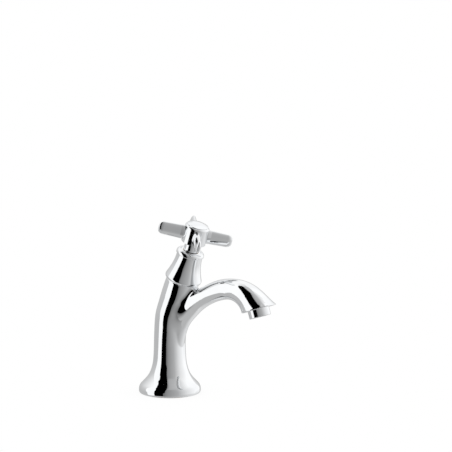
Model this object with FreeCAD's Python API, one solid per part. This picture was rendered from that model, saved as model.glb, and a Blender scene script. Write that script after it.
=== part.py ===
import FreeCAD, Part
import os
from math import asin, cos, pi, radians, sin, tan

# Basin pillar tap: a cast body with a swan-neck spout, a leaning quarter-turn valve and a cross handle.
# Millimetres. The origin is the centre of the foot on the basin deck, +X runs along the spout, +Z is up.
# Heights that start with "valve height" run along the leaning valve axis from the body's shoulder.
# Depths at the outlet run along the water jet from the rim of the spout.

V = FreeCAD.Vector
UP = V(0, 0, 1)
SIDE = V(0, 1, 0)
FULL_TURN = 360

# Shared fits
cut_overrun = 1.0
thread_clearance = 0.05
running_clearance = 0.05
seat_clearance = 0.1

# Foot and column of the cast body
foot_radius = 25.0
foot_edge_round = 2.0
foot_rim_height = 3.0
foot_shoulder_round = 7.0
foot_shoulder_angle = 45
flare_height = 26.0
flare_foot_pull = 9.0
flare_column_pull = 11.0
column_radius = 12.7
column_wall = 3.7

# Lean of the valve axis, the bend that leads to it and the shoulder that carries the shroud
lean_angle = 18.7
lean_height = 53.1
bend_radius = 90.0
shoulder_reach = 43.0
headwork_thread_radius = 10.48
headwork_thread_depth = 6.0
collar_wall = 1.32
collar_height = 4.0
collar_chamfer = 0.7
shoulder_step = 1.3
shoulder_swell = 1.1

# Spout
spout_reach = 90.7
spout_root_height = 35.0
spout_crest_height = 91.3
outlet_height = 78.75
outlet_angle = 18.8
spout_root_half_length = 11.4
spout_root_half_width = 8.0
spout_neck_radius = 7.7
rim_half_length = 14.7
rim_half_width = 13.5
crease_round = 4.0
channel_radius = 4.6
port_height = 78.8
port_start = 17.0
port_end = 26.5

# Stations of the spout: share of the reach, share of the rise from root to crest, slope in degrees, then how
# far the half-length and the half-width have opened, from the neck to the root or from the neck to the rim
spout_root_shares = [(0.0187, 0.0, 89, 0.68), (0.0397, 0.197, 83, 0.80), (0.0669, 0.370, 67, 0.95),
                     (0.1453, 0.560, 49.5, 0.80), (0.2724, 0.732, 36, 0.45)]
spout_arch_shares = [(0.406, 0.850, 28, 0.0, 0.0), (0.529, 0.944, 21.5, 0.036, 0.04),
                     (0.657, 0.998, 6.5, 0.078, 0.09), (0.778, 0.992, -14, 0.21, 0.26),
                     (0.881, 0.928, -36.5, 0.397, 0.50), (0.957, 0.834, -60, 0.652, 0.79)]

# Tail and deck fixings
tail_radius = 10.48
tail_wall = 2.98
tail_depth = 42.0
tail_engagement = 13.0
tail_chamfer = 0.6
tail_relief_depth = 0.6
tail_relief_width = 1.2
deck_gap = 16.0
foot_land = 2.0
base_seal_width = 5.0
base_seal_thickness = 2.2
washer_clearance = 0.3
rubber_washer_width = 8.5
rubber_washer_thickness = 3.0
clamp_washer_width = 8.5
clamp_washer_thickness = 1.5
backnut_wall = 3.5
backnut_height = 8.0
backnut_flange_width = 6.0
backnut_flange_height = 2.0

# Bell-shaped shroud over the valve and the nut that holds it
shroud_overhang = 1.7
shroud_lip_round = 2.3
shroud_lip_height = 2.0
shroud_lip_angle = 21
shroud_throat_radius = 10.45
shroud_height = 25.9
shroud_bead_width = 0.8
shroud_bead_height = 3.6
shroud_bead_edge_round = 0.6
shroud_bead_crown = 2.4
crown_pull_share = 0.55
shroud_waist_pull = 7.0
shroud_throat_pull = 7.5
shroud_wall = 1.0
shroud_hole_clearance = 0.5
shroud_nut_width = 2.0
shroud_nut_height = 2.0
shroud_nut_chamfer = 0.3

# Quarter-turn valve headwork
headwork_washer_thickness = 0.8
headwork_flange_inset = 0.7
headwork_flange_height = 1.4
headwork_hex_clearance = 0.4
headwork_hex_height = 6.0
headwork_neck_wall = 1.35
headwork_neck_recess = 0.5
cage_roof_depth = 4.0
cage_wall = 1.5
cage_skirt = 1.9
cage_clearance = 0.6
cage_window_width = 9.0
cage_window_height = 4.8
headwork_seal_height = 3.9
seat_width = 3.5
seat_thickness = 3.0

# Spindle and what rides on it
spindle_radius = 5.0
spindle_neck_radius = 3.9
spline_height = 10.0
spline_depth = 0.45
spline_teeth = 20
clip_groove_depth = 0.6
clip_overhang = 0.5
clip_height = 0.9
clip_gap_width = 3.0
clip_lift = 0.25
clip_land = 0.45
oring_section_radius = 0.7
oring_squeeze = 0.02
oring_groove_width = 2.0
oring_low_height = 15.0
oring_high_height = 20.0
slip_ring_height = 0.8
slip_ring_inset = 0.2
drive_flange_inset = 0.4
drive_flange_height = 2.6
drive_key_width = 3.0
drive_key_length = 11.0
drive_key_height = 1.2
disc_radius = 7.7
disc_height = 3.5
disc_film = 0.02
disc_clearance = 0.2
disc_window_inner_radius = 2.3
disc_window_margin = 1.7
disc_window_sweep = 80
seal_width = 1.5

# Cross handle
hub_gap = 0.4
hub_neck_radius = 6.2
hub_neck_height = 6.0
hub_radius = 9.8
hub_cone_height = 0.9
hub_barrel_height = 13.1
hub_edge_round = 0.5
hub_shoulder_height = 1.5
hub_shoulder_width = 1.2
hub_web_height = 1.8
screw_head_clearance = 0.9
cap_lip = 1.2
cap_plug_depth = 2.2
cap_rim_height = 0.6
cap_dome_height = 2.0
arm_length = 30.2
arm_height_share = 0.534
arm_root_margin = 0.55
arm_root_half_width = 3.3
arm_waist_drop = 0.25
arm_waist_half_width = 2.8
arm_tip_drop = 0.7
arm_tip_half_width = 2.3
arm_tip_length = 4.3
arm_tip_crown = 3.4
arm_tip_taper = 1.7
arm_tip_shares = (0.0, 0.25, 0.5, 0.72, 0.88, 1.0)
arm_cove = 2.6
arm_spigot_radius = 2.2
arm_spigot_depth = 3.8
arm_count = 4
arm_first_angle = 45
screw_radius = 1.9
screw_length = 11.0
screw_head_radius = 3.8
screw_head_height = 2.4
screw_slot_width = 1.0
screw_slot_depth = 1.1

# Aerator
aerator_radius = 8.7
aerator_height = 6.2
aerator_setback = 0.9
aerator_edge_round = 0.5
aerator_thread_step = 0.8
aerator_thread_length = 5.5
aerator_wall = 1.0
aerator_lip_width = 0.8
aerator_lip_height = 1.0
aerator_seal_height = 1.5
aerator_seal_width = 1.9
insert_plate_height = 2.0
insert_wall = 0.8
insert_bar_width = 0.7
insert_bars = 4
screen_height = 0.5
screen_hole_radius = 0.55
screen_ring_shares = ((1, 0.0), (6, 0.30), (12, 0.60))

# Radii that follow from the sizes above
collar_radius = headwork_thread_radius + collar_wall
shoulder_radius = collar_radius + shoulder_step
swell_radius = shoulder_radius + shoulder_swell
inlet_radius = column_radius - column_wall
base_seal_outer_radius = foot_radius - foot_edge_round - foot_land
base_seal_inner_radius = base_seal_outer_radius - base_seal_width
shroud_lip_radius = shoulder_radius + shroud_overhang
shroud_bead_radius = shroud_throat_radius + shroud_bead_width
headwork_flange_radius = collar_radius - headwork_flange_inset
headwork_neck_radius = spindle_radius + running_clearance + headwork_neck_wall
shroud_nut_radius = headwork_neck_radius + shroud_nut_width
headwork_hex_corner = shroud_throat_radius - shroud_wall - headwork_hex_clearance
cage_bore_radius = disc_radius + disc_clearance
cage_radius = cage_bore_radius + cage_wall
chamber_radius = cage_radius + cage_clearance
clip_groove_radius = spindle_neck_radius - clip_groove_depth
clip_radius = spindle_radius + clip_overhang
cap_radius = hub_radius - hub_shoulder_width
cap_plug_radius = cap_radius - cap_lip
aerator_thread_radius = aerator_radius - aerator_thread_step
aerator_bore_radius = aerator_thread_radius - aerator_wall
insert_radius = aerator_bore_radius - seat_clearance

# Valve heights of the stack from the ceramic discs up to the handle
collar_top = collar_height
flange_low = collar_top + headwork_washer_thickness
hex_low = flange_low + headwork_flange_height
hex_high = hex_low + headwork_hex_height
slip_ring_top = -cage_roof_depth - running_clearance
drive_flange_top = slip_ring_top - slip_ring_height - running_clearance
drive_flange_low = drive_flange_top - drive_flange_height
moving_disc_top = drive_flange_low - running_clearance
fixed_disc_top = moving_disc_top - disc_height - disc_film
fixed_disc_low = fixed_disc_top - disc_height
cage_low = fixed_disc_low - cage_skirt
seat_level = fixed_disc_low - headwork_seal_height
shroud_nut_low = shroud_height - shroud_nut_height
headwork_neck_top = shroud_height - headwork_neck_recess
clip_low = headwork_neck_top + clip_lift
spline_low = clip_low + clip_height + clip_land
spline_top = spline_low + spline_height
hub_low = shroud_height + hub_gap
hub_neck_top = hub_low + hub_neck_height
barrel_low = hub_neck_top + hub_cone_height
barrel_top = barrel_low + hub_barrel_height
hub_top = barrel_top + hub_shoulder_height
arm_height = barrel_low + arm_height_share * hub_barrel_height
web_low = spline_top + seat_clearance
web_top = web_low + hub_web_height

# Places of the main axes
lean = radians(lean_angle)
bend_start = lean_height - bend_radius * tan(lean / 2)
bend_end_height = bend_radius * tan(lean / 2) - shoulder_reach
shoulder_place = V(shoulder_reach * sin(lean), 0, lean_height + shoulder_reach * cos(lean))
outlet_slope = radians(outlet_angle)
rim_place = V(spout_reach, 0, outlet_height)
outlet_place = rim_place - V(cos(outlet_slope), 0, sin(outlet_slope)) * aerator_setback
bend_centre = V(bend_radius, 0, bend_start)


# Shapes in a local frame whose Z axis is the axis of the piece
def cylinder(radius, low, high):
    return Part.makeCylinder(radius, high - low, V(0, 0, low))


def tube(outer, inner, low, high):
    return cylinder(outer, low, high).cut(cylinder(inner, low - cut_overrun, high + cut_overrun))


def hexagon(corner, low, high):
    points = [V(corner * cos(k * pi / 3), corner * sin(k * pi / 3), low) for k in range(7)]
    return Part.Face(Part.makePolygon(points)).extrude(V(0, 0, high - low))


def revolved(edges):
    return Part.Face(Part.Wire(edges)).revolve(V(0, 0, 0), UP, FULL_TURN)


def line(a, b):
    return Part.LineSegment(V(a[0], 0, a[1]), V(b[0], 0, b[1])).toShape()


def polyline(*points):
    return [line(a, b) for a, b in zip(points, points[1:])]


def arc(centre, radius, first, last):
    angles = (first, (first + last) / 2, last)
    turns = [radians(angle) for angle in angles]
    places = [V(centre[0] + radius * cos(turn), 0, centre[1] + radius * sin(turn)) for turn in turns]
    return Part.Arc(*places).toShape()


def curve(*poles):
    bezier = Part.BezierCurve()
    bezier.setPoles([V(x, 0, z) for x, z in poles])
    return bezier.toShape()


def toward(start, angle, distance):
    return start[0] + distance * cos(radians(angle)), start[1] + distance * sin(radians(angle))


def sector(inner, outer, middle, sweep, low, high):
    block = cylinder(outer, low, high).cut(cylinder(inner, low - cut_overrun, high + cut_overrun))
    reach = 2 * outer
    half = radians(sweep / 2)
    wedge = Part.makePolygon([V(0, 0, low), V(reach * cos(half), -reach * sin(half), low),
                              V(reach * cos(half), reach * sin(half), low), V(0, 0, low)])
    slice_ = Part.Face(wedge).extrude(V(0, 0, high - low))
    slice_.rotate(V(0, 0, 0), UP, middle)
    return block.common(slice_)


def splined(radius, low, high):
    points = []
    for k in range(2 * spline_teeth + 1):
        r = radius - (k % 2) * spline_depth
        points.append(V(r * cos(k * pi / spline_teeth), r * sin(k * pi / spline_teeth), low))
    return Part.Face(Part.makePolygon(points)).extrude(V(0, 0, high - low))


# Placing on the leaning valve axis and on the water jet's axis
def on_valve(shape):
    shape.Placement = FreeCAD.Placement(shoulder_place, FreeCAD.Rotation(SIDE, lean_angle))
    return shape


def on_outlet(shape):
    shape.Placement = FreeCAD.Placement(outlet_place, FreeCAD.Rotation(SIDE, 180 - outlet_angle))
    return shape


# Cast body
def bend(radius):
    disc = Part.Face(Part.Wire(Part.Circle(V(0, 0, bend_start), UP, radius).toShape()))
    return disc.revolve(bend_centre, SIDE, lean_angle)


def column():
    round_centre = (foot_radius - foot_edge_round, foot_edge_round)
    shoulder_centre = (foot_radius - foot_shoulder_round, foot_rim_height)
    flare_start = toward(shoulder_centre, foot_shoulder_angle, foot_shoulder_round)
    flare_end = (column_radius, foot_rim_height + flare_height)
    foot = revolved(
        polyline((0, bend_start), (0, 0), (round_centre[0], 0))
        + [arc(round_centre, foot_edge_round, -90, 0),
           line((foot_radius, foot_edge_round), (foot_radius, foot_rim_height)),
           arc(shoulder_centre, foot_shoulder_round, 0, foot_shoulder_angle),
           curve(flare_start, toward(flare_start, foot_shoulder_angle + 90, flare_foot_pull),
                 (column_radius, flare_end[1] - flare_column_pull), flare_end)]
        + polyline(flare_end, (column_radius, bend_start), (0, bend_start)))
    upper = revolved(
        polyline((0, collar_top), (0, bend_end_height), (column_radius, bend_end_height))
        + [curve((column_radius, bend_end_height), (column_radius, bend_end_height * 2 / 3),
                 (swell_radius, bend_end_height / 2), (shoulder_radius, 0))]
        + polyline((shoulder_radius, 0), (collar_radius, 0), (collar_radius, collar_top - collar_chamfer),
                   (collar_radius - collar_chamfer, collar_top), (0, collar_top)))
    return foot.fuse([bend(column_radius), on_valve(upper)]).removeSplitter()


def section(x, z, slope, half_height, half_width):
    angle = radians(slope)
    unit = Part.Circle(V(0, 0, 0), UP, 1).toShape().toNurbs().Edges[0]
    place = FreeCAD.Matrix(-sin(angle) * half_height, 0, cos(angle), x,
                           0, half_width, 0, 0,
                           cos(angle) * half_height, 0, sin(angle), z,
                           0, 0, 0, 1)
    return Part.Wire(unit.transformGeometry(place))


def spout_place(reach_share, rise_share):
    rise = spout_crest_height - spout_root_height
    return reach_share * spout_reach, spout_root_height + rise_share * rise


def mixed(first, last, share):
    return first + share * (last - first)


def spout():
    sections = []
    for reach_share, rise_share, slope, open_share in spout_root_shares:
        sections.append(section(*spout_place(reach_share, rise_share), slope,
                                mixed(spout_neck_radius, spout_root_half_length, open_share),
                                mixed(spout_neck_radius, spout_root_half_width, open_share)))
    for reach_share, rise_share, slope, length_share, width_share in spout_arch_shares:
        sections.append(section(*spout_place(reach_share, rise_share), slope,
                                mixed(spout_neck_radius, rim_half_length, length_share),
                                mixed(spout_neck_radius, rim_half_width, width_share)))
    sections.append(section(rim_place.x, rim_place.z, outlet_angle - 90, rim_half_length, rim_half_width))
    return Part.makeLoft(sections, True, False)


def waterway():
    socket_depth = aerator_thread_length + aerator_seal_height
    column_bore = cylinder(inlet_radius, tail_engagement, bend_start)
    seat_low = seat_level - seat_thickness
    upper_bore = cylinder(inlet_radius, bend_end_height, seat_low)
    seat_hole = cylinder(chamber_radius - seat_width, seat_low - cut_overrun, seat_level)
    chamber = cylinder(chamber_radius, seat_level, 0)
    thread = cylinder(headwork_thread_radius + thread_clearance, -headwork_thread_depth,
                      collar_top + cut_overrun)
    outlet_socket = cylinder(aerator_thread_radius + thread_clearance, -socket_depth, cut_overrun)
    channel = [section(x, port_height, 0, channel_radius, channel_radius) for x in (port_start, port_end)]
    for reach_share, rise_share, slope, *_ in spout_arch_shares[:-1]:
        channel.append(section(*spout_place(reach_share, rise_share), slope, channel_radius, channel_radius))
    throat_end = outlet_place + V(-sin(outlet_slope), 0, cos(outlet_slope)) * socket_depth / 2
    channel.append(section(throat_end.x, throat_end.z, outlet_angle - 90, channel_radius, channel_radius))
    return [cylinder(tail_radius + thread_clearance, -cut_overrun, tail_engagement), column_bore,
            bend(inlet_radius), on_valve(upper_bore), on_valve(seat_hole), on_valve(chamber),
            on_valve(thread),
            Part.makeLoft(channel, True, False), on_outlet(outlet_socket)]


def crease_edges(body):
    creases = []
    for edge in body.Edges:
        kinds = {face.Surface.TypeId for face in body.ancestorsOfType(edge, Part.Face)}
        if "Part::GeomBSplineSurface" in kinds and len(kinds) == 2 and "Part::GeomPlane" not in kinds:
            creases.append(edge)
    return creases


def body_casting():
    body = column().fuse(spout())
    body = body.makeFillet(crease_round, crease_edges(body))
    groove = tube(base_seal_outer_radius, base_seal_inner_radius, -cut_overrun, base_seal_thickness)
    return body.cut(waterway() + [groove])


# Deck fixings below the foot
def base_seal():
    return tube(base_seal_outer_radius - seat_clearance, base_seal_inner_radius + seat_clearance,
                0, base_seal_thickness)


def threaded_tail():
    bore = tail_radius - tail_wall
    nut_low = -deck_gap - rubber_washer_thickness - clamp_washer_thickness - backnut_height
    relief_top = nut_low - tail_chamfer
    relief_low = relief_top - tail_relief_width
    groove = tail_radius - tail_relief_depth
    return revolved(polyline(
        (bore, tail_engagement), (bore, -tail_depth), (tail_radius - tail_chamfer, -tail_depth),
        (tail_radius, -tail_depth + tail_chamfer), (tail_radius, relief_low), (groove, relief_low),
        (groove, relief_top), (tail_radius, relief_top), (tail_radius, tail_engagement),
        (bore, tail_engagement)))


def rubber_washer():
    inner = tail_radius + washer_clearance
    return tube(inner + rubber_washer_width, inner, -deck_gap - rubber_washer_thickness, -deck_gap)


def clamp_washer():
    top = -deck_gap - rubber_washer_thickness
    inner = tail_radius + washer_clearance
    return tube(inner + clamp_washer_width, inner, top - clamp_washer_thickness, top)


def backnut():
    top = -deck_gap - rubber_washer_thickness - clamp_washer_thickness
    low = top - backnut_height
    nut = cylinder(tail_radius + backnut_flange_width, top - backnut_flange_height, top)
    corner = (tail_radius + backnut_wall) / cos(pi / 6)
    nut = nut.fuse(hexagon(corner, low, top - backnut_flange_height))
    return nut.cut(cylinder(tail_radius + thread_clearance, low - cut_overrun, top + cut_overrun))


# Shroud and the nut that holds it down
def shroud_outline(inset):
    lip_centre = (shroud_lip_radius - shroud_lip_round, shroud_lip_height)
    waist_start = toward(lip_centre, shroud_lip_angle, shroud_lip_round - inset)
    waist_end = (shroud_throat_radius - inset, shroud_height - shroud_bead_height)
    return waist_start, waist_end, [curve(
        waist_start, toward(waist_start, shroud_lip_angle + 90, shroud_waist_pull),
        (waist_end[0], waist_end[1] - shroud_throat_pull), waist_end)]


def bonnet_shroud():
    lip_centre = (shroud_lip_radius - shroud_lip_round, shroud_lip_height)
    lip_start_angle = -asin(shroud_lip_height / shroud_lip_round) * 180 / pi
    lip_start = toward(lip_centre, lip_start_angle, shroud_lip_round)
    waist_start, waist_end, waist = shroud_outline(0)
    bead_low = (shroud_bead_radius - shroud_bead_edge_round, waist_end[1] + shroud_bead_edge_round)
    crown_low = shroud_height - shroud_bead_crown
    crown_bend = mixed(crown_low, shroud_height, crown_pull_share)
    crown_inner = shroud_nut_radius + shroud_hole_clearance
    crown_middle = mixed(crown_inner, shroud_bead_radius, crown_pull_share)
    outside = revolved(
        polyline((0, shroud_height), (0, 0), lip_start)
        + [arc(lip_centre, shroud_lip_round, lip_start_angle, shroud_lip_angle)] + waist
        + polyline(waist_end, (bead_low[0], waist_end[1]))
        + [arc(bead_low, shroud_bead_edge_round, -90, 0),
           line((shroud_bead_radius, bead_low[1]), (shroud_bead_radius, crown_low)),
           curve((shroud_bead_radius, crown_low), (shroud_bead_radius, crown_bend),
                 (crown_middle, shroud_height), (crown_inner, shroud_height))]
        + polyline((crown_inner, shroud_height), (0, shroud_height)))
    inner_start, inner_end, inner_waist = shroud_outline(shroud_wall)
    bore = collar_radius + seat_clearance
    inside = revolved(
        polyline((0, inner_end[1]), (0, -cut_overrun), (bore, -cut_overrun), (bore, collar_top), inner_start)
        + inner_waist + polyline(inner_end, (0, inner_end[1])))
    hole = cylinder(headwork_neck_radius + shroud_hole_clearance, 0, shroud_height + cut_overrun)
    pocket = cylinder(shroud_nut_radius + seat_clearance, shroud_nut_low, shroud_height + cut_overrun)
    return on_valve(outside.cut([inside, hole, pocket]))


def shroud_nut():
    inner = headwork_neck_radius + thread_clearance
    bevel = shroud_height - shroud_nut_chamfer
    return on_valve(revolved(polyline(
        (inner, shroud_nut_low), (shroud_nut_radius, shroud_nut_low), (shroud_nut_radius, bevel),
        (shroud_nut_radius - shroud_nut_chamfer, shroud_height), (inner, shroud_height),
        (inner, shroud_nut_low))))


# Headwork: the part that screws into the body and holds the ceramic discs
def headwork_washer():
    return on_valve(tube(headwork_flange_radius, headwork_thread_radius, collar_top, flange_low))


def headwork_body():
    thread_low = -headwork_thread_depth
    solid = cylinder(headwork_thread_radius, thread_low, flange_low)
    solid = solid.fuse([cylinder(headwork_flange_radius, flange_low, hex_low),
                        hexagon(headwork_hex_corner, hex_low, hex_high),
                        cylinder(headwork_neck_radius, hex_high, headwork_neck_top),
                        cylinder(cage_radius, cage_low, thread_low)])
    window = Part.makeBox(4 * cage_radius, cage_window_width, cage_window_height,
                          V(-2 * cage_radius, -cage_window_width / 2, thread_low - cage_window_height))
    spindle_bore = cylinder(spindle_radius + running_clearance, -cage_roof_depth - cut_overrun,
                            headwork_neck_top + cut_overrun)
    cage_bore = cylinder(cage_bore_radius, cage_low - cut_overrun, -cage_roof_depth)
    return on_valve(solid.cut([spindle_bore, cage_bore, window]))


def disc(top, window_angle):
    plate = cylinder(disc_radius, top - disc_height, top)
    return plate.cut([sector(disc_window_inner_radius, disc_radius - disc_window_margin, window_angle + turn,
                             disc_window_sweep, top - disc_height - cut_overrun, top + cut_overrun)
                      for turn in (0, 180)])


def fixed_disc():
    return on_valve(disc(fixed_disc_top, 0))


def headwork_seal():
    return on_valve(tube(disc_radius, disc_radius - seal_width, seat_level, fixed_disc_low))


# Spindle group, which turns with the handle
def drive_key(clearance):
    width = drive_key_width + 2 * clearance
    length = drive_key_length + 2 * clearance
    height = drive_key_height + clearance
    return Part.makeBox(length, width, height, V(-length / 2, -width / 2, drive_flange_low - height))


def spindle():
    shaft = cylinder(spindle_radius, drive_flange_top, headwork_neck_top)
    shaft = shaft.fuse([cylinder(spindle_neck_radius, headwork_neck_top, spline_low),
                        splined(spindle_neck_radius, spline_low, spline_top),
                        cylinder(disc_radius - drive_flange_inset, drive_flange_low, drive_flange_top),
                        drive_key(0)])
    half_groove = oring_groove_width / 2
    grooves = [tube(2 * spindle_radius, oring_groove_radius(), z - half_groove, z + half_groove)
               for z in (oring_low_height, oring_high_height)]
    clip_groove = tube(2 * spindle_radius, clip_groove_radius, clip_low, clip_low + clip_height)
    screw_low = spline_top - screw_length
    screw_hole = cylinder(screw_radius + thread_clearance, screw_low, spline_top + cut_overrun)
    return on_valve(shaft.cut(grooves + [clip_groove, screw_hole]))


def oring_groove_radius():
    return spindle_radius - 2 * oring_section_radius + oring_squeeze


def spindle_orings():
    ring_radius = oring_groove_radius() + oring_section_radius
    return on_valve(Part.makeCompound([Part.makeTorus(ring_radius, oring_section_radius, V(0, 0, z))
                                       for z in (oring_low_height, oring_high_height)]))


def slip_ring():
    return on_valve(tube(disc_radius - slip_ring_inset, spindle_radius + seat_clearance,
                         slip_ring_top - slip_ring_height, slip_ring_top))


def spindle_clip():
    ring = tube(clip_radius, clip_groove_radius + running_clearance, clip_low, clip_low + clip_height)
    mouth = Part.makeBox(2 * clip_radius, clip_gap_width, 2 * clip_height,
                         V(0, -clip_gap_width / 2, clip_low - clip_height / 2))
    return on_valve(ring.cut(mouth))


def moving_disc():
    return on_valve(disc(moving_disc_top, 90).cut(drive_key(running_clearance)))


# Handle, in the valve frame
def turned_out(shape, angle):
    shape.rotate(V(0, 0, 0), SIDE, 90)
    shape.translate(V(0, 0, arm_height))
    shape.rotate(V(0, 0, 0), UP, angle)
    return shape


def arm_angles():
    return [arm_first_angle + k * FULL_TURN / arm_count for k in range(arm_count)]


def handle_hub():
    solid = revolved(
        polyline((0, hub_top), (0, hub_low), (hub_neck_radius, hub_low), (hub_neck_radius, hub_neck_top),
                 (hub_radius - hub_edge_round, barrel_low - hub_edge_round / 2), (hub_radius, barrel_low),
                 (hub_radius, barrel_top))
        + [curve((hub_radius, barrel_top), (hub_radius, barrel_top + hub_shoulder_height * 2 / 3),
                 (cap_radius, hub_top))]
        + polyline((cap_radius, hub_top), (0, hub_top)))
    socket_floor = hub_radius - arm_spigot_depth - seat_clearance
    socket = cylinder(arm_spigot_radius + seat_clearance, socket_floor, hub_radius + cut_overrun)
    sockets = [turned_out(socket.copy(), angle) for angle in arm_angles()]
    cap_floor = hub_top - cap_plug_depth - seat_clearance
    return on_valve(solid.cut(sockets + [
        splined(spindle_neck_radius + seat_clearance, hub_low - cut_overrun, web_low),
        cylinder(clip_radius + seat_clearance, hub_low - cut_overrun, spline_low + seat_clearance),
        cylinder(screw_radius + seat_clearance, web_low - cut_overrun, web_top + cut_overrun),
        cylinder(screw_head_radius + screw_head_clearance, web_top, hub_top + cut_overrun),
        cylinder(cap_plug_radius + seat_clearance, cap_floor, hub_top + cut_overrun)]))


def arm_section(distance, half_height, half_width):
    unit = Part.Circle(V(0, 0, 0), UP, 1).toShape().toNurbs().Edges[0]
    place = FreeCAD.Matrix(-half_height, 0, 0, 0, 0, half_width, 0, 0, 0, 0, 1, distance, 0, 0, 0, 1)
    return Part.Wire(unit.transformGeometry(place))


def handle_arm(angle):
    waist = hub_radius + arm_cove
    root_half_height = hub_barrel_height / 2 - arm_root_margin
    waist_half_height = root_half_height - arm_waist_drop
    tip_half_height = root_half_height - arm_tip_drop
    root = Part.makeLoft([arm_section(hub_radius * cos(pi / 4), root_half_height, arm_root_half_width),
                          arm_section(hub_radius, root_half_height, arm_root_half_width),
                          arm_section(waist, waist_half_height, arm_waist_half_width)], True, True)
    tip_start = arm_length - arm_tip_length
    blade = Part.makeLoft([arm_section(waist, waist_half_height, arm_waist_half_width),
                           arm_section(tip_start, tip_half_height, arm_tip_half_width)], True, True)
    tip = []
    for angle_share in arm_tip_shares:
        turn = angle_share * pi / 2
        inset = 1 - cos(turn)
        tip.append(arm_section(tip_start + arm_tip_length * sin(turn),
                               tip_half_height - arm_tip_crown * inset,
                               arm_tip_half_width - arm_tip_taper * inset))
    blade = blade.fuse(Part.makeLoft(tip, True, False))
    spigot = cylinder(arm_spigot_radius, hub_radius - arm_spigot_depth, waist)
    arm = turned_out(root.fuse(blade), angle)
    arm = arm.cut(cylinder(hub_radius, barrel_low - hub_barrel_height, barrel_top + hub_barrel_height))
    return on_valve(arm.fuse(turned_out(spigot, angle)))


def handle_screw():
    shank = cylinder(screw_radius, web_top - screw_length, web_top)
    head = cylinder(screw_head_radius, web_top, web_top + screw_head_height)
    slot_floor = web_top + screw_head_height - screw_slot_depth
    slot = Part.makeBox(4 * screw_head_radius, screw_slot_width, 2 * screw_slot_depth,
                        V(-2 * screw_head_radius, -screw_slot_width / 2, slot_floor))
    return on_valve(shank.fuse(head).cut(slot))


def hub_cap():
    rim_top = hub_top + cap_rim_height
    sphere_radius = (cap_radius ** 2 + cap_dome_height ** 2) / 2 / cap_dome_height
    rim_angle = 90 - asin(cap_radius / sphere_radius) * 180 / pi
    dome_centre = (0, rim_top + cap_dome_height - sphere_radius)
    return on_valve(revolved(
        polyline((0, rim_top + cap_dome_height), (0, hub_top - cap_plug_depth),
                 (cap_plug_radius, hub_top - cap_plug_depth), (cap_plug_radius, hub_top),
                 (cap_radius, hub_top), (cap_radius, rim_top))
        + [arc(dome_centre, sphere_radius, rim_angle, 90)]))


# Aerator, in the outlet frame: positive depths stand out of the spout
def aerator_housing():
    lip_low = aerator_height - aerator_lip_height
    solid = cylinder(aerator_radius, 0, aerator_height)
    lip_edges = [edge for edge in solid.Edges if edge.BoundBox.ZMin > aerator_height / 2]
    solid = solid.makeFillet(aerator_edge_round, lip_edges)
    solid = solid.fuse(cylinder(aerator_thread_radius, -aerator_thread_length, 0))
    return on_outlet(solid.cut([
        cylinder(aerator_bore_radius, -aerator_thread_length - cut_overrun, lip_low),
        cylinder(aerator_bore_radius - aerator_lip_width, 0, aerator_height + cut_overrun)]))


def aerator_insert():
    high = aerator_height - aerator_lip_height
    low = -aerator_thread_length + screen_height
    inner = insert_radius - insert_wall
    cup = tube(insert_radius, inner, low, high)
    plate = cylinder(insert_radius, high - insert_plate_height, high)
    pitch = 2 * inner / (insert_bars + 1)
    bars = []
    for k in range(insert_bars):
        place = (k + 1) * pitch - inner - insert_bar_width / 2
        bars.append(Part.makeBox(2 * insert_radius, insert_bar_width, insert_plate_height,
                                 V(-insert_radius, place, high - insert_plate_height)))
        bars.append(Part.makeBox(insert_bar_width, 2 * insert_radius, insert_plate_height,
                                 V(place, -insert_radius, high - insert_plate_height)))
    grid = bars[0].fuse(bars[1:]).common(plate)
    return on_outlet(cup.fuse(grid).removeSplitter())


def aerator_screen():
    low = -aerator_thread_length
    plate = cylinder(insert_radius, low, low + screen_height)
    holes = []
    for count, radius_share in screen_ring_shares:
        ring_radius = radius_share * insert_radius
        for k in range(count):
            hole = cylinder(screen_hole_radius, low - cut_overrun, low + screen_height + cut_overrun)
            angle = 2 * pi * k / count
            holes.append(hole.translated(V(ring_radius * cos(angle), ring_radius * sin(angle), 0)))
    return on_outlet(plate.cut(holes))


def aerator_seal():
    return on_outlet(tube(aerator_thread_radius, aerator_thread_radius - aerator_seal_width,
                          -aerator_thread_length - aerator_seal_height, -aerator_thread_length))


def all_pieces():
    pieces = {}
    for make in (body_casting, base_seal, threaded_tail, rubber_washer, clamp_washer, backnut,
                 bonnet_shroud, shroud_nut, headwork_washer, headwork_body, fixed_disc, headwork_seal,
                 spindle, spindle_orings, slip_ring, spindle_clip, moving_disc, handle_hub, handle_screw,
                 hub_cap, aerator_housing, aerator_insert, aerator_screen, aerator_seal):
        pieces[make.__name__] = make()
    for name, angle in zip(("rear_right", "rear_left", "front_left", "front_right"), arm_angles()):
        pieces["handle_arm_" + name] = handle_arm(angle)
    return pieces


os.makedirs("parts", exist_ok=True)
for node, shape in all_pieces().items():
    solids = shape.Solids
    state = "valid" if shape.isValid() else "not valid"
    print(node, len(solids), "solid", round(shape.Volume, 1), "mm3", state)
    shape.exportStep("parts/" + node + ".step")
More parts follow.
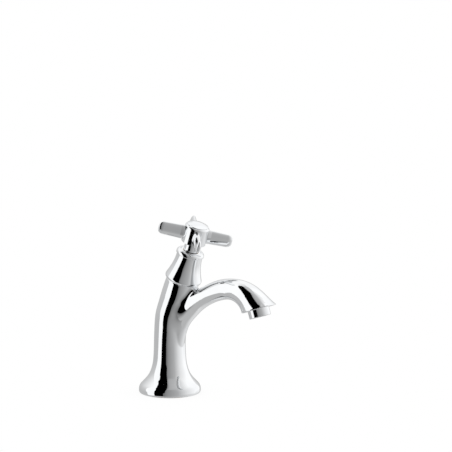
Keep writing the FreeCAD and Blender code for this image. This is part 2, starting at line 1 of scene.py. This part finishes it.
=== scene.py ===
import bpy
import numpy as np
from math import radians, sin, cos, pi
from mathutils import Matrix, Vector


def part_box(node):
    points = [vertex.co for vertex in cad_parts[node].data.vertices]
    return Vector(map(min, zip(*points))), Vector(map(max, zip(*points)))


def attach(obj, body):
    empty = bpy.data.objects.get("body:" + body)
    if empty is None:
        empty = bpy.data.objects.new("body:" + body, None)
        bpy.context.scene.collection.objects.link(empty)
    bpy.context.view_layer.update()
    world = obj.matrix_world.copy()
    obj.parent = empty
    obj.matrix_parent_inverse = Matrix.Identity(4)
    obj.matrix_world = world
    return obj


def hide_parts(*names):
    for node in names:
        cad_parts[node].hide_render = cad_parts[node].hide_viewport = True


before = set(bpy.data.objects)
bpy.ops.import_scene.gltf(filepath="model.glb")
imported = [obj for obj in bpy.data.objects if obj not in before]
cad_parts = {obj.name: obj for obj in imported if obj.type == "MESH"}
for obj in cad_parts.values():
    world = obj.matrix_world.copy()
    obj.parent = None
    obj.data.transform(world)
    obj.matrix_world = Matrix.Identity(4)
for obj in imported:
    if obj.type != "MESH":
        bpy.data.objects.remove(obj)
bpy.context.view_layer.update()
scene = bpy.context.scene
scene.view_settings.view_transform = "Standard"
mm = 0.001  # sizes and places are given in millimetres, the scene is in metres
print("frame loaded:", len(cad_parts), "nodes")


# sRGB hex to the linear colour that a socket takes
def hexColour(code):
    parts = [int(code[i:i + 2], 16) / 255 for i in (1, 3, 5)]
    return tuple(p / 12.92 if p <= 0.04045 else ((p + 0.055) / 1.055) ** 2.4 for p in parts) + (1.0,)


# adds a node, sets its settings or sockets by name or number, and links its inputs
def addNode(tree, kind, settings=None, links=None):
    node = tree.nodes.new(kind)
    for name, value in (settings or {}).items():
        if isinstance(name, str) and hasattr(node, name):
            setattr(node, name, value)
        else:
            node.inputs[name].default_value = value
    for name, source in (links or {}).items():
        tree.links.new(source, node.inputs[name])
    return node


def setRamp(ramp, stops):
    elements = ramp.color_ramp.elements
    while len(elements) > 1:
        elements.remove(elements[-1])
    for i, (place, code) in enumerate(stops):
        stop = elements[0] if i == 0 else elements.new(place)
        stop.position = place
        stop.color = hexColour(code)


def newMaterial(name):
    material = bpy.data.materials.new(name)
    material.use_nodes = True
    material.node_tree.nodes.clear()
    return material, material.node_tree


# Polished chrome plate over cast brass: a hard mirror with a faint blue-grey cast, buffed by hand,
# so the reflections are clean but bend very slightly, with a trace of haze where it was wiped
chromeLook = {"plate": "#F3F4F5", "hazed": "#EDEFF1", "toneAt": (0.35, 0.75),
              "roughness": (0.02, 0.045), "hazeAt": (0.3, 0.8), "wipeSize": 14, "wipeDetail": 4.0,
              "buffSize": 9, "buffDetail": 1.0, "buffStrength": 1.0, "buffHeight": 0.0002}


def chromePlate(look):
    material, tree = newMaterial("polishedChromePlate")
    place = addNode(tree, "ShaderNodeTexCoord")
    wipe = addNode(tree, "ShaderNodeTexNoise",
                   {"Scale": 1 / (look["wipeSize"] * mm), "Detail": look["wipeDetail"]},
                   {"Vector": place.outputs["Object"]})
    tone = addNode(tree, "ShaderNodeValToRGB", None, {"Fac": wipe.outputs["Fac"]})
    setRamp(tone, zip(look["toneAt"], (look["plate"], look["hazed"])))
    haze = addNode(tree, "ShaderNodeMapRange",
                   {"From Min": look["hazeAt"][0], "From Max": look["hazeAt"][1],
                    "To Min": look["roughness"][0], "To Max": look["roughness"][1]},
                   {"Value": wipe.outputs["Fac"]})
    buff = addNode(tree, "ShaderNodeTexNoise",
                   {"Scale": 1 / (look["buffSize"] * mm), "Detail": look["buffDetail"]},
                   {"Vector": place.outputs["Object"]})
    bump = addNode(tree, "ShaderNodeBump",
                   {"Strength": look["buffStrength"], "Distance": look["buffHeight"] * mm},
                   {"Height": buff.outputs["Fac"]})
    shader = addNode(tree, "ShaderNodeBsdfPrincipled", {"Metallic": 1.0},
                     {"Base Color": tone.outputs["Color"], "Roughness": haze.outputs["Result"],
                      "Normal": bump.outputs["Normal"]})
    addNode(tree, "ShaderNodeOutputMaterial", None, {"Surface": shader.outputs["BSDF"]})
    return material


# Turned brass: yellow metal with a slightly dull, handled tone and the lathe's fine rings,
# which are drawn coarse enough to show
brassLook = {"bright": "#D8B878", "dull": "#B08C4C", "toneAt": (0.3, 0.75), "roughness": (0.22, 0.36),
             "stainSize": 6, "stainDetail": 5.0, "ringPitch": 0.35, "ringWobble": 0.4,
             "ringStrength": 0.25, "ringHeight": 0.03}
bandLength = 0.314  # one band of the wave texture at a scale of 1


def turnedBrass(look):
    material, tree = newMaterial("turnedBrass")
    place = addNode(tree, "ShaderNodeTexCoord")
    rings = addNode(tree, "ShaderNodeTexWave",
                    {"wave_type": "BANDS", "bands_direction": "Z",
                     "Scale": bandLength / (look["ringPitch"] * mm), "Distortion": look["ringWobble"]},
                    {"Vector": place.outputs["Object"]})
    stain = addNode(tree, "ShaderNodeTexNoise",
                    {"Scale": 1 / (look["stainSize"] * mm), "Detail": look["stainDetail"]},
                    {"Vector": place.outputs["Object"]})
    tone = addNode(tree, "ShaderNodeValToRGB", None, {"Fac": stain.outputs["Fac"]})
    setRamp(tone, zip(look["toneAt"], (look["bright"], look["dull"])))
    rough = addNode(tree, "ShaderNodeMapRange",
                    {"To Min": look["roughness"][0], "To Max": look["roughness"][1]},
                    {"Value": stain.outputs["Fac"]})
    bump = addNode(tree, "ShaderNodeBump",
                   {"Strength": look["ringStrength"], "Distance": look["ringHeight"] * mm},
                   {"Height": rings.outputs["Fac"]})
    shader = addNode(tree, "ShaderNodeBsdfPrincipled", {"Metallic": 1.0},
                     {"Base Color": tone.outputs["Color"], "Roughness": rough.outputs["Result"],
                      "Normal": bump.outputs["Normal"]})
    addNode(tree, "ShaderNodeOutputMaterial", None, {"Surface": shader.outputs["BSDF"]})
    return material


# The other stuffs, all dull or satin: moulded rubber with a bloom, stamped steel with a rolled grain,
# lapped alumina with a dense fine speckle, pressed fibre with flecks, moulded acetal with a waxy skin
plainLooks = {
    "mouldedRubber": {"slot": "rubber", "low": "#1B1B1C", "high": "#2C2C2D", "roughness": (0.6, 0.78),
                      "metal": 0.0, "grain": 0.6, "stretch": 1.0, "height": 0.02, "ior": 1.52},
    "stampedSteel": {"slot": "steel", "low": "#B9BBBD", "high": "#D2D3D4", "roughness": (0.24, 0.38),
                     "metal": 1.0, "grain": 0.5, "stretch": 9.0, "height": 0.01, "ior": None},
    "lappedAlumina": {"slot": "ceramic", "low": "#E4DFD4", "high": "#F1EEE6", "roughness": (0.12, 0.2),
                      "metal": 0.0, "grain": 0.4, "stretch": 1.0, "height": 0.004, "ior": 1.76},
    "pressedFibre": {"slot": "fibre", "low": "#8A3428", "high": "#B4523F", "roughness": (0.6, 0.8),
                     "metal": 0.0, "grain": 0.8, "stretch": 4.0, "height": 0.03, "ior": 1.5},
    "mouldedAcetal": {"slot": "plastic", "low": "#DCDDDD", "high": "#EDEDEC", "roughness": (0.32, 0.44),
                      "metal": 0.0, "grain": 1.2, "stretch": 1.0, "height": 0.008, "ior": 1.48},
}
plainGrain = {"detail": 6.0, "toneAt": (0.3, 0.7), "strength": 0.5}


def plainStuff(name, look):
    material, tree = newMaterial(name)
    place = addNode(tree, "ShaderNodeTexCoord")
    spread = addNode(tree, "ShaderNodeMapping", {"Scale": (1.0, look["stretch"], 1.0)},
                     {"Vector": place.outputs["Object"]})
    grain = addNode(tree, "ShaderNodeTexNoise",
                    {"Scale": 1 / (look["grain"] * mm), "Detail": plainGrain["detail"]},
                    {"Vector": spread.outputs["Vector"]})
    tone = addNode(tree, "ShaderNodeValToRGB", None, {"Fac": grain.outputs["Fac"]})
    setRamp(tone, zip(plainGrain["toneAt"], (look["low"], look["high"])))
    rough = addNode(tree, "ShaderNodeMapRange",
                    {"To Min": look["roughness"][0], "To Max": look["roughness"][1]},
                    {"Value": grain.outputs["Fac"]})
    bump = addNode(tree, "ShaderNodeBump",
                   {"Strength": plainGrain["strength"], "Distance": look["height"] * mm},
                   {"Height": grain.outputs["Fac"]})
    shader = addNode(tree, "ShaderNodeBsdfPrincipled", {"Metallic": look["metal"]},
                     {"Base Color": tone.outputs["Color"], "Roughness": rough.outputs["Result"],
                      "Normal": bump.outputs["Normal"]})
    if look["ior"]:
        shader.inputs["IOR"].default_value = look["ior"]
    addNode(tree, "ShaderNodeOutputMaterial", None, {"Surface": shader.outputs["BSDF"]})
    return material


finishes = {"chrome": chromePlate(chromeLook), "brass": turnedBrass(brassLook)}
for name, look in plainLooks.items():
    finishes[look["slot"]] = plainStuff(name, look)

nodeFinish = {
    "chrome": ["body_casting", "bonnet_shroud", "shroud_nut", "handle_hub", "handle_arm_rear_right",
               "handle_arm_rear_left", "handle_arm_front_left", "handle_arm_front_right", "hub_cap",
               "aerator_housing"],
    "brass": ["threaded_tail", "backnut", "headwork_body", "spindle"],
    "rubber": ["base_seal", "rubber_washer", "headwork_seal", "spindle_orings", "aerator_seal"],
    "steel": ["clamp_washer", "spindle_clip", "handle_screw", "aerator_screen"],
    "ceramic": ["fixed_disc", "moving_disc"],
    "fibre": ["headwork_washer"],
    "plastic": ["aerator_insert", "slip_ring"],
}
for slotName, names in nodeFinish.items():
    for name in names:
        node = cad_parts[name]
        node.data.materials.clear()
        node.data.materials.append(finishes[slotName])
print("finishes on", sum(len(names) for names in nodeFinish.values()), "nodes")


# a new piece on the fixed side of the tap, which stands for a CAD node
def addTapPiece(name, mesh, slotName, node):
    mesh.materials.clear()
    mesh.materials.append(finishes[slotName])
    piece = bpy.data.objects.new(name, mesh)
    scene.collection.objects.link(piece)
    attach(piece, "tap")
    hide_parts(node)
    print(name, "has", len(mesh.polygons), "faces")


# Skin of the body, dense and even so that the plate mirrors without facets. A casting is ground by hand
# before it is plated, so the hollow where the spout leaves the column is eased, and sharp edges are rounded.
# The column swells a little, to the back and to the sides at its bend and all round above the foot: how far,
# at what height, and how it fades below, above and forwards
skinLook = {"voxel": 0.4, "column": 12.5,  # size of the faces, radius of the column
            "easing": 270, "edgeRound": 14, "polish": 12,  # rounds of smoothing
            "step": 0.5, "backStep": -0.52,  # share of the way in one round
            "edgeTurn": 25,  # degrees from point to point at a sharp edge
            # places in the hollow and their reaches
            "hollow": [((13, 7, 60), 11), ((17, 7, 70), 9), ((22, 7, 78), 6)],
            "back": {"depth": 1.3, "height": 72, "below": 14, "above": 15, "forward": (10, 22)},
            "side": {"depth": 1.4, "height": 66, "below": 15, "above": 12, "forward": (12, 24)},
            "waist": {"depth": 0.8, "height": 21, "below": 6, "above": 12, "forward": (24, 26)}}


# a node's mesh again, in small faces of one size
def evenMesh(node, voxel):
    rough = bpy.data.objects.new("bodyRough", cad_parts[node].data.copy())
    scene.collection.objects.link(rough)
    remesh = rough.modifiers.new("even", "REMESH")
    remesh.mode = "VOXEL"
    remesh.voxel_size = voxel * mm
    mesh = bpy.data.meshes.new_from_object(rough.evaluated_get(bpy.context.evaluated_depsgraph_get()))
    bpy.data.objects.remove(rough)
    return mesh


# each point goes a share of the way to the middle of its neighbours
def smoothed(points, links, counts, share):
    total = np.zeros_like(points)
    for axis in range(3):
        total[:, axis] = (np.bincount(links[:, 0], points[links[:, 1], axis], len(points))
                          + np.bincount(links[:, 1], points[links[:, 0], axis], len(points)))
    return points + share * (total / counts - points)


# the same, many times, only at the points that have a share
def eased(points, links, counts, share, times):
    near = links[(share[links[:, 0], 0] > 0) | (share[links[:, 1], 0] > 0)]
    for _ in range(times):
        points = smoothed(points, near, counts, share)
    return points


# eases in and out between zero and one
def softStep(share):
    return share * share * (3 - 2 * share)


# rises from zero to one towards the middle of the hollow, alike on both sides
def hollowShare(points, hollow):
    oneSide = np.column_stack([points[:, 0], np.abs(points[:, 1]), points[:, 2]])
    share = np.zeros((len(points), 1))
    for place, reach in hollow:
        away = np.linalg.norm(oneSide - np.array(place) * mm, axis=1, keepdims=True)
        share = np.maximum(share, np.clip(1 - away / (reach * mm), 0, 1))
    return softStep(share)


# one where the surface turns sharply from a point to its neighbour, and on the next points around it
def edgeShare(mesh, links, turn):
    normals = np.empty(3 * len(mesh.vertices))
    mesh.vertex_normals.foreach_get("vector", normals)
    normals = normals.reshape(-1, 3)
    sharp = (normals[links[:, 0]] * normals[links[:, 1]]).sum(axis=1) < cos(radians(turn))
    share = np.zeros((len(normals), 1))
    share[links[sharp].ravel()] = 1
    beside = (share[links[:, 0], 0] > 0) | (share[links[:, 1], 0] > 0)
    share[links[beside].ravel()] = 1
    return share


# how far each point swells, in metres
def swelling(points, swell):
    off = points[:, 2] / mm - swell["height"]
    rise = np.exp(-(off / np.where(off < 0, swell["below"], swell["above"])) ** 2)
    first, last = swell["forward"]
    fade = np.clip((last - points[:, 0] / mm) / (last - first), 0, 1)
    return swell["depth"] * mm * rise * softStep(fade)


def makeBodySkin(look):
    mesh = evenMesh("body_casting", look["voxel"])
    points = np.empty(3 * len(mesh.vertices))
    mesh.vertices.foreach_get("co", points)
    points = points.reshape(-1, 3)
    links = np.empty(2 * len(mesh.edges), int)
    mesh.edges.foreach_get("vertices", links)
    links = links.reshape(-1, 2)
    counts = np.bincount(links.ravel(), minlength=len(points))[:, None]
    hollow = hollowShare(points, look["hollow"])
    edges = edgeShare(mesh, links, look["edgeTurn"])
    points = eased(points, links, counts, look["step"] * hollow, look["easing"])
    points = eased(points, links, counts, look["step"] * edges, look["edgeRound"])
    back, side, waist = [swelling(points, look[name]) for name in ("back", "side", "waist")]
    radius = look["column"] * mm
    points[:, :2] *= 1 + waist[:, None] / radius
    points[:, 1] += side * np.sin(np.clip(points[:, 1] / radius, -1, 1) * pi / 2)
    points[:, 0] -= back
    for _ in range(look["polish"]):  # forth and a little further back, so that the form doesn't shrink
        points = smoothed(points, links, counts, look["step"])
        points = smoothed(points, links, counts, look["backStep"])
    mesh.vertices.foreach_set("co", points.ravel())
    mesh.shade_smooth()
    addTapPiece("bodySkin", mesh, "chrome", "body_casting")


makeBodySkin(skinLook)


# Tail with its half-inch pipe thread, round at crest and root, cut the whole length and turned down
# at the relief
tailLook = {"radius": 10.48, "bore": 7.5, "pitch": 1.814, "depth": 1.16, "chamfer": 0.6,
            "relief": (-30.3, -29.1), "reliefDepth": 0.6, "around": 72, "perPitch": 8, "sharpTurn": 60}


def makeTail(look):
    low, high = [corner[2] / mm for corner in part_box("threaded_tail")]
    around = look["around"]
    turns = [2 * pi * step / around for step in range(around)]
    count = round((high - low) / look["pitch"] * look["perPitch"])
    rings = []
    for row in range(count + 1):
        z = low + (high - low) * row / count
        limit = look["radius"] - max(0, look["chamfer"] - (z - low))
        if look["relief"][0] <= z <= look["relief"][1]:
            limit = look["radius"] - look["reliefDepth"]
        cuts = [look["depth"] * (1 - cos(2 * pi * z / look["pitch"] - turn)) / 2 for turn in turns]
        rings.append((z, [min(limit, look["radius"] - cut) for cut in cuts]))
    for z in (high, low):  # the bore, from the top down
        rings.append((z, [look["bore"]] * around))
    points = [(out * cos(turn) * mm, out * sin(turn) * mm, z * mm)
              for z, outs in rings for turn, out in zip(turns, outs)]
    faces = []
    for row in range(len(rings)):
        first, second = row * around, (row + 1) % len(rings) * around
        for step in range(around):
            beside = (step + 1) % around
            faces.append((first + step, first + beside, second + beside, second + step))
    mesh = bpy.data.meshes.new("tailThread")
    mesh.from_pydata(points, [], faces)
    mesh.shade_smooth()
    mesh.set_sharp_from_angle(angle=radians(look["sharpTurn"]))
    addTapPiece("tailThread", mesh, "brass", "threaded_tail")


makeTail(tailLook)

# Camera, a long lens in front of the spout and to one side of it, looking slightly down.
# The target is the middle of the picture, in millimetres
cameraPlace = {"azimuth": 38, "elevation": 9, "distance": 2400, "target": (22.83, 44.50, 132.65),
               "lens": 236.3, "sensor": 36, "clip": (100, 50000)}


def makeCamera(place):
    data = bpy.data.cameras.new("photoCamera")
    data.lens = place["lens"]
    data.sensor_width = place["sensor"]
    data.clip_start, data.clip_end = [reach * mm for reach in place["clip"]]
    camera = bpy.data.objects.new("photoCamera", data)
    scene.collection.objects.link(camera)
    turn, lift = radians(place["azimuth"]), radians(place["elevation"])
    back = Vector((sin(turn) * cos(lift), -cos(turn) * cos(lift), sin(lift)))
    camera.rotation_mode = "QUATERNION"
    camera.rotation_quaternion = (-back).to_track_quat("-Z", "Y")
    camera.location = (Vector(place["target"]) + back * place["distance"]) * mm
    scene.camera = camera
    print("camera set")


makeCamera(cameraPlace)


# Studio cards on a ball round the tap, mirrored by the metal and not seen by the camera. Turns are
# measured from the camera, with left negative. Each row of a card is its elevation, its left and right edge,
# and how far its tone has gone from low to high. A tone is one grey, or a few greys with their turns
studio = {"centre": (10, 0, 80), "radius": 1600, "strength": 1.1, "turn": cameraPlace["azimuth"] - 90,
          "columns": 60, "steps": 6}
middleTones = [(-24, "#666666"), (-10, "#8C8C8C"), (30, "#ACACAC"), (70, "#E2E2E2"), (112, "#FFFFFF")]
footTones = [(-24, "#707070"), (-10, "#8E8E8E"), (112, "#E2E2E2")]
cards = {
    "blackFlag": {"low": "#000000", "high": "#B4B4B4",
                  "rows": [(-44, -60, -24, 1), (-38, -60, -24, 0.75), (-33, -60, -24, 0.3),
                           (-31, -60, -24, 0), (0, -60, -24, 0), (10, -61, -18, 0), (35, -63, -18, 0),
                           (45, -70, -18, 0), (55, -86, -18, 0), (65, -102, -18, 0), (74, -105, -22, 0),
                           (79, -106, -26, 1)]},
    "leftSoftbox": {"low": "#FFFFFF", "high": "#B4B4B4",
                    "rows": [(-33, -90, -60, 1), (-30, -90, -60, 0), (-12, -90, -60, 0),
                             (10, -104, -61, 0), (35, -104, -63, 0), (45, -104, -70, 0),
                             (55, -104, -86, 0), (64, -104, -101, 0)]},
    "greySweep": {"low": middleTones,
                  "high": [(-24, "#8C8C8C"), (0, "#AAAAAA"), (55, "#BABABA"), (112, "#F4F4F4")],
                  "rows": [(-12, -24, 112, 0), (0, -24, 112, 0), (10, -18, 112, 0), (45, -18, 112, 0),
                           (58, -18, 112, 1), (74, -22, 112, 1), (79, -26, 112, 1)]},
    "sweepFoot": {"low": middleTones, "high": footTones,
                  "rows": [(-34, -24, 112, 1), (-24, -24, 112, 1), (-12, -24, 112, 0)]},
    "sweepTurn": {"low": footTones, "high": [(-24, "#9E9E9E"), (50, "#BABABA"), (112, "#DCDCDC")],
                  "rows": [(-54, -24, 112, 1), (-34, -24, 112, 0)]},
    "rightSoftbox": {"low": "#FFFFFF", "high": "#DEDEDE",
                     "rows": [(-33, 112, 146, 1), (-22, 112, 146, 1), (-8, 112, 146, 0), (79, 112, 146, 0)]},
    "rightWall": {"low": [(146, "#D0D0D0"), (180, "#B0B0B0")], "high": "#FAFAFA",
                  "rows": [(-33, 146, 180, 0), (5, 146, 180, 0), (30, 146, 180, 1), (79, 146, 180, 1)]},
    "leftWall": {"low": "#B8B8B8", "high": "#FAFAFA",
                 "rows": [(-33, -180, -90, 0), (-12, -180, -90, 0), (10, -180, -104, 0.2),
                          (25, -180, -104, 0.5), (45, -180, -104, 1), (62, -180, -104, 1),
                          (79, -180, -104, 0.4)]},
    "overheadCard": {"low": "#BEBEBE", "rows": [(79, -180, 180, 0), (89.9, -180, 180, 0)]},
    "lowSweep": {"low": [(-180, "#C8C8C8"), (-110, "#B4B4B4"), (45, "#B4B4B4"), (140, "#DCDCDC"),
                         (180, "#C8C8C8")],
                 "rows": [(-89.9, -180, 180, 0), (-30, -180, 180, 0)], "behind": 60},
}


# where a turn lies along the ramps and the UV map
def turnShare(turn):
    return (turn + 180) / 360


# the colour goes along the turn by a ramp, and from the low ramp to the high one up the card
def cardMaterial(name, card):
    material, tree = newMaterial(name)
    place = addNode(tree, "ShaderNodeTexCoord")
    split = addNode(tree, "ShaderNodeSeparateXYZ", None, {"Vector": place.outputs["UV"]})
    tones = []
    for tone in (card["low"], card.get("high", card["low"])):
        stops = [(0, tone)] if isinstance(tone, str) else tone
        ramp = addNode(tree, "ShaderNodeValToRGB", None, {"Fac": split.outputs["X"]})
        setRamp(ramp, [(turnShare(turn), code) for turn, code in stops])
        tones.append(ramp.outputs["Color"])
    mix = addNode(tree, "ShaderNodeMixRGB", None,
                  {"Fac": split.outputs["Y"], "Color1": tones[0], "Color2": tones[1]})
    glow = addNode(tree, "ShaderNodeEmission", {"Strength": studio["strength"]},
                   {"Color": mix.outputs["Color"]})
    addNode(tree, "ShaderNodeOutputMaterial", None, {"Surface": glow.outputs["Emission"]})
    material.cycles.emission_sampling = "NONE"
    return material


def makeCard(name, card):
    centre, radius = Vector(studio["centre"]), studio["radius"] + card.get("behind", 0)
    columns, steps = studio["columns"], studio["steps"]
    points, marks = [], []
    for first, last in zip(card["rows"], card["rows"][1:]):
        for step in range(steps + 1):
            up, left, right, blend = [a + (b - a) * step / steps for a, b in zip(first, last)]
            level, out = sin(radians(up)), cos(radians(up))
            for column in range(columns + 1):
                turn = left + (right - left) * column / columns
                way = radians(turn + studio["turn"])
                points.append((centre + radius * Vector((out * cos(way), out * sin(way), level))) * mm)
                marks.append((turnShare(turn), blend))
    across = columns + 1
    down = len(points) // across
    corners = [row * across + column for row in range(down - 1) for column in range(columns)]
    mesh = bpy.data.meshes.new(name)
    mesh.from_pydata(points, [], [(c, c + 1, c + across + 1, c + across) for c in corners])
    layer = mesh.uv_layers.new(name="turn")
    for loop in mesh.loops:
        layer.data[loop.index].uv = marks[loop.vertex_index]
    mesh.materials.append(cardMaterial(name, card))
    sheet = bpy.data.objects.new(name, mesh)
    scene.collection.objects.link(sheet)
    sheet.visible_camera = False
    sheet.visible_diffuse = False
    sheet.visible_shadow = False
    sheet.visible_transmission = False


for name, card in cards.items():
    makeCard(name, card)
print("studio cards:", len(cards))


# one for the rays that show the background at its own white: from the camera, from metal and from glass
def seenRays(tree):
    path = addNode(tree, "ShaderNodeLightPath")
    seen = addNode(tree, "ShaderNodeMath", {"operation": "MAXIMUM"},
                   {0: path.outputs["Is Camera Ray"], 1: path.outputs["Is Glossy Ray"]})
    seenToo = addNode(tree, "ShaderNodeMath", {"operation": "MAXIMUM"},
                      {0: seen.outputs[0], 1: path.outputs["Is Transmission Ray"]})
    return seenToo.outputs[0]


# Floor: a plain white sheet that stays white in the picture and keeps a faint contact shadow of the foot
floorLook = {"size": 6000, "colour": "#F4F4F4", "shadowReach": 30, "shadowDepth": 0.06, "shadowSamples": 16}


def makeFloor(look):
    material, tree = newMaterial("whiteFloor")
    near = addNode(tree, "ShaderNodeAmbientOcclusion",
                   {"Distance": look["shadowReach"] * mm, "samples": look["shadowSamples"]})
    shade = addNode(tree, "ShaderNodeMapRange", {"To Min": 1 - look["shadowDepth"], "To Max": 1.0},
                    {"Value": near.outputs["AO"]})
    white = addNode(tree, "ShaderNodeEmission", None, {"Strength": shade.outputs["Result"]})
    paper = addNode(tree, "ShaderNodeBsdfDiffuse", {"Color": hexColour(look["colour"])})
    mix = addNode(tree, "ShaderNodeMixShader", None,
                  {0: seenRays(tree), 1: paper.outputs[0], 2: white.outputs[0]})
    addNode(tree, "ShaderNodeOutputMaterial", None, {"Surface": mix.outputs[0]})
    half = look["size"] * mm / 2
    mesh = bpy.data.meshes.new("whiteFloor")
    mesh.from_pydata([(-half, -half, 0), (half, -half, 0), (half, half, 0), (-half, half, 0)],
                     [], [(0, 1, 2, 3)])
    mesh.materials.append(material)
    floor = bpy.data.objects.new("whiteFloor", mesh)
    scene.collection.objects.link(floor)
    floor.visible_glossy = False  # the chrome mirrors the cards instead, which reach below the floor


makeFloor(floorLook)

# Surround, white behind the object and at a plain level of light for the dull pieces
surroundLook = {"colour": "#FFFFFF", "seen": 1.0, "light": 0.8}


def makeSurround(look):
    world = bpy.data.worlds.new("studioSurround")
    world.use_nodes = True
    tree = world.node_tree
    tree.nodes.clear()
    level = addNode(tree, "ShaderNodeMapRange", {"To Min": look["light"], "To Max": look["seen"]},
                    {"Value": seenRays(tree)})
    glow = addNode(tree, "ShaderNodeBackground", {"Color": hexColour(look["colour"])},
                   {"Strength": level.outputs["Result"]})
    addNode(tree, "ShaderNodeOutputWorld", None, {"Surface": glow.outputs[0]})
    scene.world = world


makeSurround(surroundLook)

# One soft lamp, high up and a little behind the tap, for the shadows, not mirrored in the chrome
lampLook = {"place": (-500, -600, 1400), "size": 1200, "power": 6}


def makeLamp(look):
    data = bpy.data.lights.new("overheadLamp", "AREA")
    data.size = look["size"] * mm
    data.energy = look["power"]
    lamp = bpy.data.objects.new("overheadLamp", data)
    scene.collection.objects.link(lamp)
    lamp.location = Vector(look["place"]) * mm
    lamp.rotation_mode = "QUATERNION"
    lamp.rotation_quaternion = (-lamp.location).to_track_quat("-Z", "Y")
    lamp.visible_camera = False
    lamp.visible_glossy = False


makeLamp(lampLook)
print("floor, surround and lamp set")
